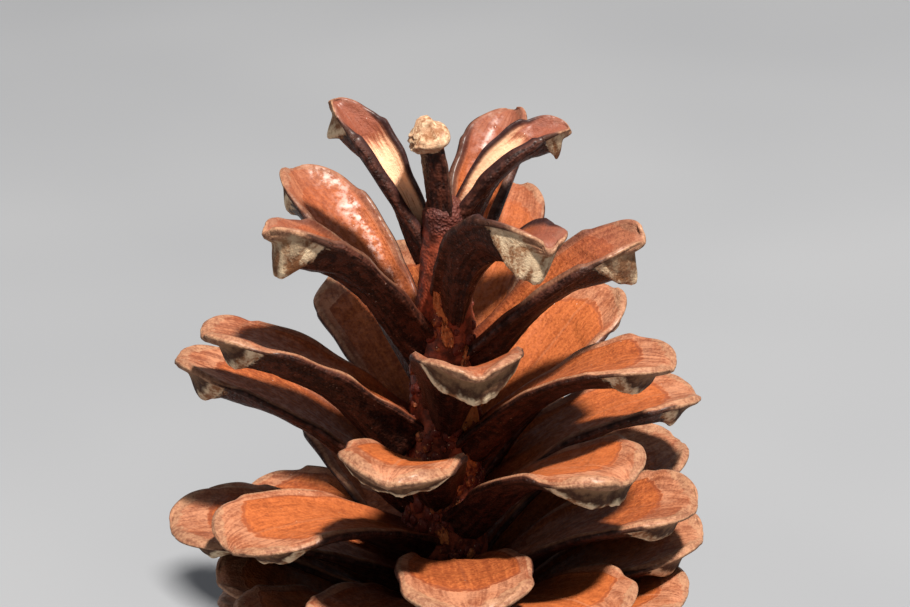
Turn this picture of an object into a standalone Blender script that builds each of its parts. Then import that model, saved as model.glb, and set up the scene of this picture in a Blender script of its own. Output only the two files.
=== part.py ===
"""An open pine cone at its real size, standing on its lowest scales.

Woody scales grow from a tapering stem in one spiral. They are numbered from the tip of the cone
down, and a scale's number sets its place, size and slope through the profiles below. The scales
and the stem grew as one piece, so they are joined into one solid. Azimuth is measured about +Z
from +X towards +Y, and a scale's slope from the horizontal.
"""

import math
import random
from dataclasses import dataclass

import bmesh
import bpy
from mathutils import Vector

MM = 0.001

# The spiral: 5 turns for every 13 scales, with a little drift
SCALE_COUNT = 64
FIRST_AZIMUTH = 248.3
DIVERGENCE = 138.54

# Profiles: (scale number, value), in millimetres or degrees, straight between their points
TIP_RADIUS = (
    (0, 8.0), (2, 11.0), (5, 16.0), (9, 20.0), (14, 21.7), (24, 22.4), (36, 21.6), (44, 19.6),
    (52, 15.6), (63, 9.0),
)
TIP_HEIGHT = (
    (0, 61.0), (5, 51.5), (9, 44.0), (14, 36.0), (20, 27.5), (28, 22.0), (36, 16.0), (44, 9.0),
    (50, 4.4), (56, 1.9), (63, 1.2),
)
ROOT_HEIGHT = (
    (0, 52.0), (3, 43.6), (6, 37.6), (8, 33.6), (11, 30.2), (13, 26.6), (18, 21.4), (24, 16.4),
    (32, 11.0), (44, 6.6), (63, 4.0),
)
WIDTH = (
    (0, 3.8), (2, 4.2), (4, 5.8), (7, 7.4), (11, 8.5), (14, 10.0), (18, 11.0), (24, 11.6),
    (36, 11.6), (46, 10.2), (54, 7.6), (63, 5.4),
)
ARCH = ((0, 20.0), (8, 34.0), (14, 40.0), (24, 32.0), (36, 26.0), (48, 34.0), (63, 30.0))
CUP = ((0, 0.6), (3, 0.5), (6, 0.4), (8, 0.28), (9, 0.19), (12, 0.16), (20, 0.14), (63, 0.18))
BODY_THICKNESS = (
    (0, 1.8), (1, 1.0), (3, 1.1), (8, 1.25), (9, 1.3), (10, 2.2), (11, 1.3), (20, 1.2), (44, 1.1),
    (63, 1.0),
)
ROOT_THICKNESS = (
    (0, 2.0), (2, 2.0), (3, 3.2), (4, 2.6), (9, 2.6), (10, 4.2), (11, 2.6), (63, 2.4),
)
SHIELD_THICKNESS = (
    (0, 2.4), (1, 2.2), (2, 2.8), (3, 3.2), (4, 2.6), (5, 3.4), (8, 2.5), (13, 2.1), (16, 2.9),
    (18, 2.2), (30, 2.1), (63, 1.7),
)

# Scales that stand off the even spiral: number -> turn in degrees, tip radius and height in
# millimetres, arch and roll in degrees
STRAYED = {
    0: (-45, 0.9, 58.2, 6, 0),
    1: (-14, 10.5, 57.0, 46, 10),
    2: (-11, 10.0, 58.6, 12, -12),
    3: (-14, 13.5, 53.4, 38, -12),
    4: (-16, 14.5, 54.6, 18, 0),
    5: (-8, 16.3, 53.0, 14, 0),
    6: (-9, 16.2, 49.2, 14, 8),
    7: (-2, 18.0, 49.5, 16, 0),
    8: (1, 19.3, 45.0, 26, 0),
    9: (15, 19.0, 46.0, 24, 0),
    10: (1, 20.2, 42.2, 24, 4),
    11: (2, 20.5, 40.9, 38, -3),
    12: (2, 19.5, 38.5, 32, -24),
    13: (9, 21.5, 37.1, 30, -4),
    14: (13, 18.8, 38.5, 22, 0),
    15: (5, 22.5, 36.0, 24, 18),
    16: (7, 21.5, 34.5, 34, 0),
    18: (-1, 23.0, 27.5, 36, 0),
    19: (10, 22.0, 32.1, 36, -9),
    20: (12, 21.5, 18.5, 20, 0),
    21: (-2, 22.5, 25.5, 40, 0),
    22: (0, 21.5, 24.5, 36, 0),
    23: (-2, 23.5, 24.0, 30, 0),
    24: (8, 22.0, 27.0, 32, 0),
    26: (0, 22.0, 21.8, 34, 0),
    27: (-5, 22.5, 25.0, 20, 0),
    28: (-1, 23.0, 20.0, 24, 0),
    29: (0, 22.5, 22.5, 40, 0),
    32: (-10, 22.0, 22.0, 26, 0),
    33: (2, 22.0, 15.5, 26, 0),
    36: (-6, 19.5, 18.0, 26, 0),
    37: (0, 22.0, 19.5, 30, 0),
}
STRAY_TURN = 4.0
STRAY_LIFT = 0.5
STRAY_SEED = 7

# Scales off the even width, how far a tip is bent towards greater azimuths, and how far a root is
# raised on the stem
WIDENED = {0: 4.2, 3: 6.6, 8: 8.8, 11: 9.6, 12: 11.5, 19: 12.0}
SWEPT = {3: 4.0}
RAISED = {19: 4.0}

# The stem that carries the scales: (height, radius)
STEM = (
    (0.0, 2.7), (2.4, 2.9), (5.0, 4.2), (16.0, 3.9), (30.0, 3.1), (42.0, 2.4), (48.0, 1.8),
    (50.4, 1.75), (51.3, 1.4), (51.9, 0.6),
)
STEM_SIDES = 14
ROOT_SINK = 1.3

# Where the topmost scale, which stands upright, starts: radius and height
TOP_ROOT = (-0.3, 49.5)

# The outline of a scale: shares of its length and of its half width
STATIONS = (0.0, 0.22, 0.46, 0.68, 0.80, 0.89, 0.955, 1.0)
SHOULDER = 0.78
ROOT_SHARE = 0.44
TIP_SHARE = 0.34
TIP_ROUNDING = 2.6
UPPER_ACROSS = (-1.0, -0.5, 0.0, 0.5, 1.0)
LOWER_ACROSS = (0.72, 0.0, -0.72)
EDGE_THICKNESS = 0.7
ROOT_TAPER = 0.5
SHIELD_START = 0.70
SHIELD_PEAK = 0.89
SHIELD_FALL = 0.55
ARCH_GATHER = 1.6
ARCH_STEPS = 24

WOOD_COLOUR = (0.30, 0.105, 0.045, 1.0)
WOOD_ROUGHNESS = 0.55


@dataclass(frozen=True)
class ConeScale:
    """Where one scale starts and ends, and its form. Lengths are in millimetres, angles in degrees."""

    azimuth: float
    root: tuple
    tip: tuple
    width: float
    arch: float
    roll: float
    sweep: float
    cup: float
    root_depth: float
    body: float
    shield: float


def profile(points, at):
    """The value at a place along a list of (place, value) points, straight between them."""
    if at <= points[0][0]:
        return points[0][1]
    for (low, first), (high, second) in zip(points, points[1:]):
        if at <= high:
            return first + (second - first) * (at - low) / (high - low)
    return points[-1][1]


def stem_radius(height):
    """The stem's radius at a height."""
    return profile(STEM, height)


def scale_at(number, draw):
    """The scale with this number, counted down from the tip of the cone."""
    loose_turn = draw.uniform(-STRAY_TURN, STRAY_TURN)
    loose_height = profile(TIP_HEIGHT, number) + draw.uniform(-STRAY_LIFT, STRAY_LIFT)
    even = (loose_turn, profile(TIP_RADIUS, number), loose_height, profile(ARCH, number), 0)
    turn, tip_radius, tip_height, arch, roll = STRAYED.get(number, even)
    root_height = profile(ROOT_HEIGHT, number) + RAISED.get(number, 0.0)
    root = (stem_radius(root_height) - ROOT_SINK, root_height)
    return ConeScale(
        azimuth=FIRST_AZIMUTH + DIVERGENCE * number + turn,
        root=TOP_ROOT if number == 0 else root,
        tip=(tip_radius, tip_height),
        width=WIDENED.get(number, profile(WIDTH, number)),
        arch=arch,
        roll=roll,
        sweep=SWEPT.get(number, 0.0),
        cup=profile(CUP, number),
        root_depth=profile(ROOT_THICKNESS, number),
        body=profile(BODY_THICKNESS, number),
        shield=profile(SHIELD_THICKNESS, number),
    )


def smooth(x):
    """0 below 0, 1 above 1, and a smooth step between."""
    x = min(max(x, 0.0), 1.0)
    return x * x * (3.0 - 2.0 * x)


def half_width(scale, along):
    """Half the width of a scale at a share of its length: it widens to the shoulder, then rounds off."""
    if along < SHOULDER:
        share = ROOT_SHARE + (1.0 - ROOT_SHARE) * smooth(0.12 + 0.88 * along / SHOULDER)
    else:
        past = (along - SHOULDER) / (1.0 - SHOULDER)
        share = TIP_SHARE + (1.0 - TIP_SHARE) * (1.0 - past**TIP_ROUNDING) ** 0.6
    return scale.width / 2.0 * share


def thickness(scale, along):
    """The thickness along the middle of a scale: thick root, thin body, and the swollen shield at the tip."""
    root = (scale.root_depth - scale.body) * (1.0 - smooth(along / ROOT_TAPER))
    rise = smooth((along - SHIELD_START) / (SHIELD_PEAK - SHIELD_START))
    fall = 1.0 - SHIELD_FALL * smooth((along - SHIELD_PEAK) / (1.0 - SHIELD_PEAK))
    return scale.body + root + (scale.shield - scale.body) * rise * fall


def spine(scale):
    """The middle line of a scale as (share, radius, height, slope): an arch from its root to its tip."""
    points = [(0.0, 0.0)]
    for step in range(ARCH_STEPS):
        bent = -math.radians(scale.arch) * ((step + 0.5) / ARCH_STEPS) ** ARCH_GATHER
        points.append((points[-1][0] + math.cos(bent), points[-1][1] + math.sin(bent)))
    run, rise = scale.tip[0] - scale.root[0], scale.tip[1] - scale.root[1]
    stretch = math.hypot(run, rise) / math.hypot(*points[-1])
    turn = math.atan2(rise, run) - math.atan2(points[-1][1], points[-1][0])
    line = []
    for step, (x, y) in enumerate(points):
        share = step / ARCH_STEPS
        radius = scale.root[0] + stretch * (x * math.cos(turn) - y * math.sin(turn))
        height = scale.root[1] + stretch * (x * math.sin(turn) + y * math.cos(turn))
        line.append((share, radius, height, turn - math.radians(scale.arch) * share**ARCH_GATHER))
    return line


def spine_at(line, along):
    """(radius, height, slope) of a middle line at a share of its length."""
    return tuple(profile([(point[0], point[k]) for point in line], along) for k in (1, 2, 3))


def section(scale, line, along):
    """The ring of points round a scale at a share of its length, in metres."""
    radius, height, slope = spine_at(line, along)
    azimuth = math.radians(scale.azimuth)
    outward = Vector((math.cos(azimuth), math.sin(azimuth), 0.0))
    sideways = Vector((-math.sin(azimuth), math.cos(azimuth), 0.0))
    upward = -math.sin(slope) * outward + Vector((0.0, 0.0, math.cos(slope)))
    roll = math.radians(scale.roll) * smooth(2.0 * along)
    sideways, upward = (
        math.cos(roll) * sideways + math.sin(roll) * upward,
        math.cos(roll) * upward - math.sin(roll) * sideways,
    )
    middle = radius * outward + Vector((0.0, 0.0, height)) + scale.sweep * along**2 * sideways
    half, deep = half_width(scale, along), thickness(scale, along)
    cupped = scale.cup * half * smooth(0.3 + along)
    ring = []
    for across in UPPER_ACROSS:
        ring.append(middle + across * half * sideways + cupped * across**2 * upward)
    for across in LOWER_ACROSS:
        below = EDGE_THICKNESS + (deep - EDGE_THICKNESS) * (1.0 - across**2)
        ring.append(middle + across * half * sideways + (cupped * across**2 - below) * upward)
    for point in ring:
        point.z = max(point.z, 0.0)
    return [point * MM for point in ring]


def mesh_object(name, build):
    """A mesh object whose faces build(bm) makes, with its normals facing out."""
    mesh = bpy.data.meshes.new(name)
    bm = bmesh.new()
    build(bm)
    bmesh.ops.recalc_face_normals(bm, faces=bm.faces)
    bm.to_mesh(mesh)
    bm.free()
    made = bpy.data.objects.new(name, mesh)
    bpy.context.scene.collection.objects.link(made)
    return made


def loft(bm, rings):
    """Skins a row of closed rings and caps both ends."""
    rows = [[bm.verts.new(point) for point in ring] for ring in rings]
    count = len(rows[0])
    for low, high in zip(rows, rows[1:]):
        for k in range(count):
            bm.faces.new((low[k], low[(k + 1) % count], high[(k + 1) % count], high[k]))
    bm.faces.new(rows[0])
    bm.faces.new(rows[-1])


def scale_object(number, scale):
    """One scale as a closed solid whose root lies inside the stem."""
    line = spine(scale)
    rings = [section(scale, line, along) for along in STATIONS]
    return mesh_object(f"scale_{number:02d}", lambda bm: loft(bm, rings))


def stem_object():
    """The stem, from its cut end at the bottom to the round bud between the top scales."""
    turns = [math.tau * k / STEM_SIDES for k in range(STEM_SIDES)]
    rings = [
        [Vector((radius * math.cos(a), radius * math.sin(a), height)) * MM for a in turns]
        for height, radius in STEM
    ]
    return mesh_object("pine_cone", lambda bm: loft(bm, rings))


def wood_material():
    """Reddish brown wood, between the orange faces and the dark backs of the scales."""
    material = bpy.data.materials.new("cone_wood")
    material.use_nodes = True
    shader = material.node_tree.nodes["Principled BSDF"]
    shader.inputs["Base Color"].default_value = WOOD_COLOUR
    shader.inputs["Roughness"].default_value = WOOD_ROUGHNESS
    return material


def joined(stem, scales):
    """Joins the scales to the stem by one union, and removes what was joined."""
    grown = bpy.data.collections.new("grown_scales")
    bpy.context.scene.collection.children.link(grown)
    for scale in scales:
        bpy.context.scene.collection.objects.unlink(scale)
        grown.objects.link(scale)
    union = stem.modifiers.new("grown together", "BOOLEAN")
    union.operation = "UNION"
    union.operand_type = "COLLECTION"
    union.collection = grown
    with bpy.context.temp_override(object=stem, active_object=stem):
        bpy.ops.object.modifier_apply(modifier=union.name)
    for scale in scales:
        bpy.data.objects.remove(scale)
    bpy.data.collections.remove(grown)


def main():
    """Clears the scene and builds the cone."""
    for old in list(bpy.data.objects):
        bpy.data.objects.remove(old)
    draw = random.Random(STRAY_SEED)
    scales = [scale_object(number, scale_at(number, draw)) for number in range(SCALE_COUNT)]
    cone = stem_object()
    joined(cone, scales)
    cone.data.materials.append(wood_material())


main()
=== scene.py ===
"""The looks of an open pine cone that stands on its lowest scales.

The scales grow from a tapering stem in one spiral and are numbered from the tip of the cone down.
Each is bent out of one flat blank. On a scale, "across" runs from -1 at one side to 1 at the other,
"along" from 0 at the root to 1 at the tip, and "under" from 0 on the upper face to 1 on the lower.
Azimuth is measured about +Z from +X towards +Y, and a slope from the horizontal.
"""

import logging
import math
import random
from dataclasses import dataclass, field
from enum import Enum
from typing import Any, Sequence

import bpy
import numpy as np
from mathutils import Matrix, Vector, noise


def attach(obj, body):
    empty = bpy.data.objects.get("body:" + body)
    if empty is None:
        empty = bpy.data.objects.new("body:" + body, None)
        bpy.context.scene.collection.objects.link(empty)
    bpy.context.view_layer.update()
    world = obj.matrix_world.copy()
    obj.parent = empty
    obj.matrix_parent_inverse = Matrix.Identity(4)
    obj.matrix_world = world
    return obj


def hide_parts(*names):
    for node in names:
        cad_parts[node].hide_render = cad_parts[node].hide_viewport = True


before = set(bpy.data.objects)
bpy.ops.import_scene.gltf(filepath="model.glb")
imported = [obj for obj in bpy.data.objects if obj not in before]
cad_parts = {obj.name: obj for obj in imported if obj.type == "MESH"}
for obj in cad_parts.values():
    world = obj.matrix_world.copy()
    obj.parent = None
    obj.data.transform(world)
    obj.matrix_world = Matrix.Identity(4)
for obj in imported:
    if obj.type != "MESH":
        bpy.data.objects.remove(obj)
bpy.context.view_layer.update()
LOG = logging.getLogger("pine_cone")

MM = 0.001
BODY = "root"
NODE = "pine_cone"
SCALE_UV = "across_along"
UNDER = "under"
TINT = "tint"
GOLD = "gold"
CROWN = "crown"
SHIELD = "shield"
CRINKLE = "crinkle"
KNOB = "knob"

Array = np.ndarray
Object = bpy.types.Object
Mesh = bpy.types.Mesh
Material = bpy.types.Material
Socket = bpy.types.NodeSocket
Curve = Sequence[tuple[float, float]]
Colour = tuple[float, float, float, float]


def tone(red: int, green: int, blue: int) -> Colour:
    """A screen colour, 0 to 255 a channel, as the linear light that shaders use."""
    linear = [((channel / 255 + 0.055) / 1.055) ** 2.4 for channel in (red, green, blue)]
    return (linear[0], linear[1], linear[2], 1.0)


def read(curve: Curve, at: Any) -> Any:
    """The value of a curve of (place, value) points at a place or an array of places."""
    return np.interp(at, [point[0] for point in curve], [point[1] for point in curve])


def smooth(x: Any) -> Any:
    """0 below 0, 1 above 1, and a smooth step between."""
    x = np.clip(x, 0.0, 1.0)
    return x * x * (3.0 - 2.0 * x)


def bell(x: Any) -> Any:
    """1 at 0, and next to nothing from 2 on."""
    return np.exp(-np.square(x))


def grain(points: Array, size: float, start: Vector) -> Array:
    """Noise from about -1 to 1 at each point, in lumps of this size, from this start."""
    return np.array([noise.noise(Vector(point) / size + start) for point in points])


def points_of(mesh: Mesh) -> Array:
    """Reads a mesh's points.

    Args:
        mesh: The mesh.

    Returns:
        One row of x, y, z for each point.
    """
    points = np.empty(len(mesh.vertices) * 3)
    mesh.vertices.foreach_get("co", points)
    return points.reshape(-1, 3)


def label(mesh: Mesh, name: str, values: Any) -> None:
    """Stores a number on each point of a mesh."""
    mesh.attributes.new(name, "FLOAT", "POINT").data.foreach_set("value", values)


def added(name: str, data: Any) -> Object:
    """Puts a new object into the scene.

    Args:
        name: Its name.
        data: Its mesh, lamp or camera.

    Returns:
        The object.
    """
    made = bpy.data.objects.new(name, data)
    bpy.context.scene.collection.objects.link(made)
    return made


def point_at(made: Object, start: Vector, aim: Vector) -> None:
    """Puts a lamp or a camera at a place, and turns it towards another."""
    made.location = start
    made.rotation_euler = (aim - made.location).to_track_quat("-Z", "Y").to_euler()


def joined(parts: list[Object], name: str, material: Material) -> Object:
    """Joins parts into one finished piece.

    Args:
        parts: The parts.
        name: The piece's name.
        material: Its finish.

    Returns:
        The piece.
    """
    bpy.ops.object.select_all(action="DESELECT")
    for part in parts:
        part.select_set(True)
    bpy.context.view_layer.objects.active = parts[0]
    bpy.ops.object.join()
    piece = parts[0]
    piece.name = name
    piece.data.materials.append(material)
    settle(piece)
    return piece


def settle(piece: Object) -> None:
    """Puts a finished piece's place into its mesh, and hands it to the frame.

    Args:
        piece: The piece.
    """
    bpy.ops.object.select_all(action="DESELECT")
    piece.select_set(True)
    bpy.context.view_layer.objects.active = piece
    bpy.ops.object.transform_apply(location=True, rotation=True, scale=True)
    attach(piece, BODY)
    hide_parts(NODE)


@dataclass(frozen=True)
class ScalePlace:
    """Where one scale starts and ends, and its form. Lengths are in millimetres, angles in degrees."""

    number: int
    azimuth: float
    root: tuple[float, float]
    tip: tuple[float, float]
    width: float
    arch: float
    roll: float
    sweep: float
    cup: float
    root_depth: float
    body: float
    shield: float


@dataclass(frozen=True)
class Stem:
    """The stem that carries the scales, as (height, radius) in millimetres."""

    outline: Curve = (
        (0.0, 2.7), (2.4, 2.9), (5.0, 4.2), (16.0, 3.9), (30.0, 3.1), (42.0, 2.4), (48.0, 1.8),
        (50.4, 1.75), (51.3, 1.4), (51.9, 0.6),
    )

    def radius(self, height: float) -> float:
        """The stem's radius at a height."""
        return float(read(self.outline, height))


@dataclass(frozen=True)
class Spiral:
    """The rule that places the scales: 5 turns for every 13 of them, and their sizes down the cone.

    The curves run over the scale's number, in millimetres or degrees. strayed names the scales that
    stand off the even spiral: turn, tip radius, tip height, arch and roll. swept names those whose
    tip bends aside, towards smaller azimuths where it is above 0, and raised those whose root
    stands higher on the stem.
    """

    stem: Stem = Stem()
    count: int = 64
    first_azimuth: float = 248.3
    divergence: float = 138.54
    stray_turn: float = 4.0
    stray_lift: float = 0.5
    stray_seed: int = 7
    root_sink: float = 1.3
    top_root: tuple[float, float] = (-0.3, 49.5)
    tip_radius: Curve = (
        (0, 8.0), (2, 11.0), (5, 16.0), (9, 20.0), (14, 21.7), (24, 22.4), (36, 21.6), (44, 19.6),
        (52, 15.6), (63, 9.0),
    )
    tip_height: Curve = (
        (0, 61.0), (5, 51.5), (9, 44.0), (14, 36.0), (20, 27.5), (28, 22.0), (36, 16.0), (44, 9.0),
        (50, 4.4), (56, 1.9), (63, 1.2),
    )
    root_height: Curve = (
        (0, 52.0), (3, 43.6), (6, 37.6), (8, 33.6), (11, 30.2), (13, 26.6), (18, 21.4), (24, 16.4),
        (32, 11.0), (44, 6.6), (63, 4.0),
    )
    width: Curve = (
        (0, 3.8), (2, 4.2), (4, 5.8), (7, 7.4), (11, 8.5), (14, 10.0), (18, 11.0), (24, 11.6),
        (36, 11.6), (46, 10.2), (54, 7.6), (63, 5.4),
    )
    arch: Curve = ((0, 20.0), (8, 34.0), (14, 40.0), (24, 32.0), (36, 26.0), (48, 34.0), (63, 30.0))
    cup: Curve = ((0, 0.6), (3, 0.5), (6, 0.4), (8, 0.28), (9, 0.19), (12, 0.16), (20, 0.14), (63, 0.18))
    body: Curve = (
        (0, 1.8), (1, 1.0), (3, 1.1), (8, 1.25), (9, 1.3), (10, 2.2), (11, 1.3), (20, 1.2), (44, 1.1),
        (63, 1.0),
    )
    root_depth: Curve = ((0, 2.0), (2, 2.0), (3, 3.2), (4, 2.6), (9, 2.6), (10, 4.2), (11, 2.6), (63, 2.4))
    shield: Curve = (
        (0, 2.4), (1, 2.2), (2, 2.8), (3, 3.2), (4, 2.6), (5, 3.4), (8, 2.5), (13, 2.1), (16, 2.9),
        (18, 2.2), (30, 2.1), (63, 1.7),
    )
    strayed: dict[int, tuple[float, float, float, float, float]] = field(
        default_factory=lambda: {
            0: (-45, 0.9, 58.2, 6, 0), 1: (-14, 10.5, 57.0, 46, 10), 2: (-11, 10.0, 58.6, 12, -12),
            3: (-14, 13.5, 53.4, 38, -12), 4: (-16, 14.5, 54.6, 18, 0), 5: (-8, 16.3, 53.0, 14, 0),
            6: (-9, 16.2, 49.2, 14, 8), 7: (-2, 18.0, 49.5, 16, 0), 8: (1, 19.3, 45.0, 26, 0),
            9: (15, 19.0, 46.0, 24, 0), 10: (1, 20.2, 42.2, 24, 4), 11: (2, 20.5, 40.9, 38, -3),
            12: (2, 19.5, 38.5, 32, -24), 13: (9, 21.5, 37.1, 30, -4), 14: (13, 18.8, 38.5, 22, 0),
            15: (9, 22.5, 36.6, 24, 8), 16: (7, 21.5, 34.5, 34, 0), 18: (-1, 23.0, 27.5, 36, 0),
            19: (10, 22.0, 32.1, 36, -9), 20: (12, 21.5, 18.5, 20, 0), 21: (-2, 22.5, 25.5, 40, 0),
            22: (0, 21.5, 24.5, 36, 0), 23: (-2, 23.5, 24.0, 30, 0), 24: (8, 22.0, 27.0, 32, 0),
            26: (0, 22.0, 21.8, 34, 0), 27: (-5, 22.5, 25.0, 20, 0), 28: (-1, 23.0, 20.0, 24, 0),
            29: (0, 22.5, 22.5, 40, 0), 32: (-10, 22.0, 22.0, 26, 0), 33: (2, 22.0, 15.5, 26, 0),
            36: (-6, 19.5, 18.0, 26, 0), 37: (0, 22.0, 19.5, 30, 0),
        }
    )
    swept: dict[int, float] = field(default_factory=lambda: {3: -4.0})
    widened: dict[int, float] = field(
        default_factory=lambda: {0: 4.2, 3: 6.6, 8: 8.8, 11: 9.6, 12: 11.5, 19: 12.0}
    )
    raised: dict[int, float] = field(default_factory=lambda: {19: 4.0})

    def places(self) -> list[ScalePlace]:
        """Every scale's place, from the tip of the cone down."""
        draw = random.Random(self.stray_seed)
        return [self._place(number, draw) for number in range(self.count)]

    def _place(self, number: int, draw: random.Random) -> ScalePlace:
        """Works out one scale's place.

        Args:
            number: The scale's number.
            draw: What draws the strays.

        Returns:
            The place.
        """
        loose_turn = draw.uniform(-self.stray_turn, self.stray_turn)
        loose_height = float(read(self.tip_height, number)) + draw.uniform(-self.stray_lift, self.stray_lift)
        even = (loose_turn, read(self.tip_radius, number), loose_height, read(self.arch, number), 0.0)
        turn, tip_radius, tip_height, arch, roll = self.strayed.get(number, even)
        root_height = float(read(self.root_height, number)) + self.raised.get(number, 0.0)
        root = (self.stem.radius(root_height) - self.root_sink, root_height)
        return ScalePlace(
            number=number,
            azimuth=self.first_azimuth + self.divergence * number + turn,
            root=self.top_root if number == 0 else root,
            tip=(float(tip_radius), float(tip_height)),
            width=self.widened.get(number, float(read(self.width, number))),
            arch=float(arch),
            roll=float(roll),
            sweep=self.swept.get(number, 0.0),
            cup=float(read(self.cup, number)),
            root_depth=float(read(self.root_depth, number)),
            body=float(read(self.body, number)),
            shield=float(read(self.shield, number)),
        )


@dataclass(frozen=True)
class Spine:
    """The middle line of a scale: an arch from its root to its tip."""

    place: ScalePlace
    steps: int = 48
    gather: float = 1.6

    def line(self) -> tuple[Array, Array, Array, Array]:
        """Works out the arch.

        Returns:
            The share along, the radius, the height and the slope in radians, at each step.
        """
        place = self.place
        share = np.linspace(0.0, 1.0, self.steps + 1)
        bent = -math.radians(place.arch) * ((share[1:] + share[:-1]) / 2.0) ** self.gather
        x = np.concatenate([[0.0], np.cumsum(np.cos(bent))])
        y = np.concatenate([[0.0], np.cumsum(np.sin(bent))])
        run = place.tip[0] - place.root[0]
        rise = place.tip[1] - place.root[1]
        stretch = math.hypot(run, rise) / math.hypot(x[-1], y[-1])
        turn = math.atan2(rise, run) - math.atan2(y[-1], x[-1])
        radius = place.root[0] + stretch * (x * math.cos(turn) - y * math.sin(turn))
        height = place.root[1] + stretch * (x * math.sin(turn) + y * math.cos(turn))
        slope = turn - math.radians(place.arch) * share**self.gather
        return share, radius, height, slope


@dataclass(frozen=True)
class ScaleBlank:
    """The flat blank that every scale is bent from: 2 wide, 1 long and 1 deep, closer set at its tip."""

    across: int = 36
    along: int = 76
    wall: int = 4

    def build(self) -> Object:
        """Makes the blank as a closed slab with its upper face at z = 0.

        Returns:
            The blank, with its UV map and the attribute for under.
        """
        bpy.ops.mesh.primitive_grid_add(
            x_subdivisions=self.across, y_subdivisions=self.along, size=2.0, location=(0.0, 0.0, 0.0)
        )
        blank = bpy.context.active_object
        blank.name = "scale_blank"
        bpy.ops.object.mode_set(mode="EDIT")
        bpy.ops.mesh.select_all(action="SELECT")
        for _ in range(self.wall):
            bpy.ops.mesh.extrude_region_move(TRANSFORM_OT_translate={"value": (0.0, 0.0, -1.0 / self.wall)})
        bpy.ops.mesh.select_all(action="SELECT")
        bpy.ops.mesh.normals_make_consistent(inside=False)
        bpy.ops.object.mode_set(mode="OBJECT")
        self._space(blank.data)
        return blank

    def _space(self, mesh: Mesh) -> None:
        """Spaces the blank's rows, and writes its UV map and the attribute for under.

        Args:
            mesh: The blank's mesh.
        """
        points = points_of(mesh)
        side, forth = points[:, 0], (points[:, 1] + 1.0) / 2.0
        points[:, 0] = 1.15 * side - 0.15 * side**3
        points[:, 1] = 0.4 * forth + 0.6 * (1.0 - (1.0 - forth) ** 1.6)
        points[:, 2] -= points[:, 2].max()
        mesh.vertices.foreach_set("co", points.ravel())
        label(mesh, UNDER, -points[:, 2])
        while mesh.uv_layers:
            mesh.uv_layers.remove(mesh.uv_layers[0])
        layer = mesh.uv_layers.new(name=SCALE_UV)
        corners = np.empty(len(mesh.loops), dtype=np.int32)
        mesh.loops.foreach_get("vertex_index", corners)
        flat = np.stack([points[corners, 0] / 2.0 + 0.5, points[corners, 1]], axis=1)
        layer.data.foreach_set("uv", flat.ravel())


@dataclass(frozen=True)
class Sheet:
    """One scale's blank before it is bent: where its points are, and the noise at each of them."""

    place: ScalePlace
    start: Vector
    across: Array
    along: Array
    under: Array
    crinkle: Array
    lumps: Array
    wave: Array
    crumbs: Array
    length: float = 20.0

    @classmethod
    def lay(cls, blank: Array, place: ScalePlace) -> "Sheet":
        """Lays the blank flat at a scale's width, and reads the noise there.

        Args:
            blank: The blank's points, one row each.
            place: The scale's place.

        Returns:
            The sheet.
        """
        across, along = blank[:, 0], blank[:, 1]
        start = Vector((place.number * 7.31, place.number * 3.17, place.number * 5.71))
        flat = np.stack([across * place.width / 2.0, along * cls.length, 0.0 * along], axis=1)
        return cls(
            place=place,
            start=start,
            across=across,
            along=along,
            under=-blank[:, 2],
            crinkle=grain(flat, 0.75, start) + 0.5 * grain(flat, 0.4, start),
            lumps=grain(flat, 2.2, start),
            wave=grain(flat, 3.2, start),
            crumbs=grain(flat, 0.8, start + Vector((3.0, 5.0, 9.0))),
        )


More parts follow.
